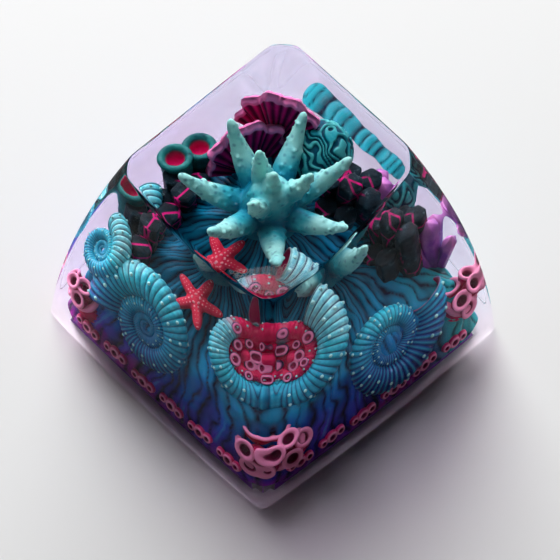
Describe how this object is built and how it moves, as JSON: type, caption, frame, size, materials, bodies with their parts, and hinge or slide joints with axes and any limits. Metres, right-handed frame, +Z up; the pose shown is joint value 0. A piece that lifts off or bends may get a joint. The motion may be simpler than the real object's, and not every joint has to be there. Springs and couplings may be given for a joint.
{
  "type": "keycap",
  "caption": "Sculpted square keycap of clear violet-tinted cast resin over a painted coral reef, with a dished leaning top and a cross-socket stem underneath.",
  "frame": {"origin": "middle of the square base, on the plane it rests on", "axes": "+Z up out of the key's top, -Y towards the typist, +X to the right"},
  "size_m": [0.0182, 0.0182, 0.0163],
  "materials": {
    "clear_resin": "polished clear cast resin with a faint violet tint",
    "violet_resin": "moulded violet resin",
    "rock_paint": "painted indigo and violet, satin",
    "basalt_paint": "painted near-black green with magenta seams",
    "teal_paint": "painted teal to deep blue with pale speckles, satin",
    "pale_teal_paint": "painted pale teal, shaded darker at the roots",
    "turquoise_paint": "painted turquoise, satin",
    "magenta_paint": "painted magenta, satin",
    "green_paint": "painted green-teal with pale dots",
    "pink_paint": "painted hot pink with pale mouths, glossy",
    "violet_paint": "violet resin, glossy",
    "coral_red_paint": "painted coral red with pale ridges",
    "rose_paint": "painted rose with dark mouths"
  },
  "bodies": {
    "root": {"resin_cap": "clear_resin", "stem_base": "violet_resin", "reef_rock": "rock_paint", "basalt_columns": "basalt_paint", "front_shell": "teal_paint", "right_shell": "teal_paint", "left_shell": "teal_paint", "middle_shell": "teal_paint", "crown_coral": "pale_teal_paint", "brain_coral": "turquoise_paint", "fan_corals": "magenta_paint", "sponge_tubes": "green_paint", "front_anemone": "pink_paint", "left_anemone": "pink_paint", "right_anemone": "pink_paint", "crystals": "violet_paint", "starfish": "coral_red_paint", "barnacles": "rose_paint"}
  },
  "joints": []
}
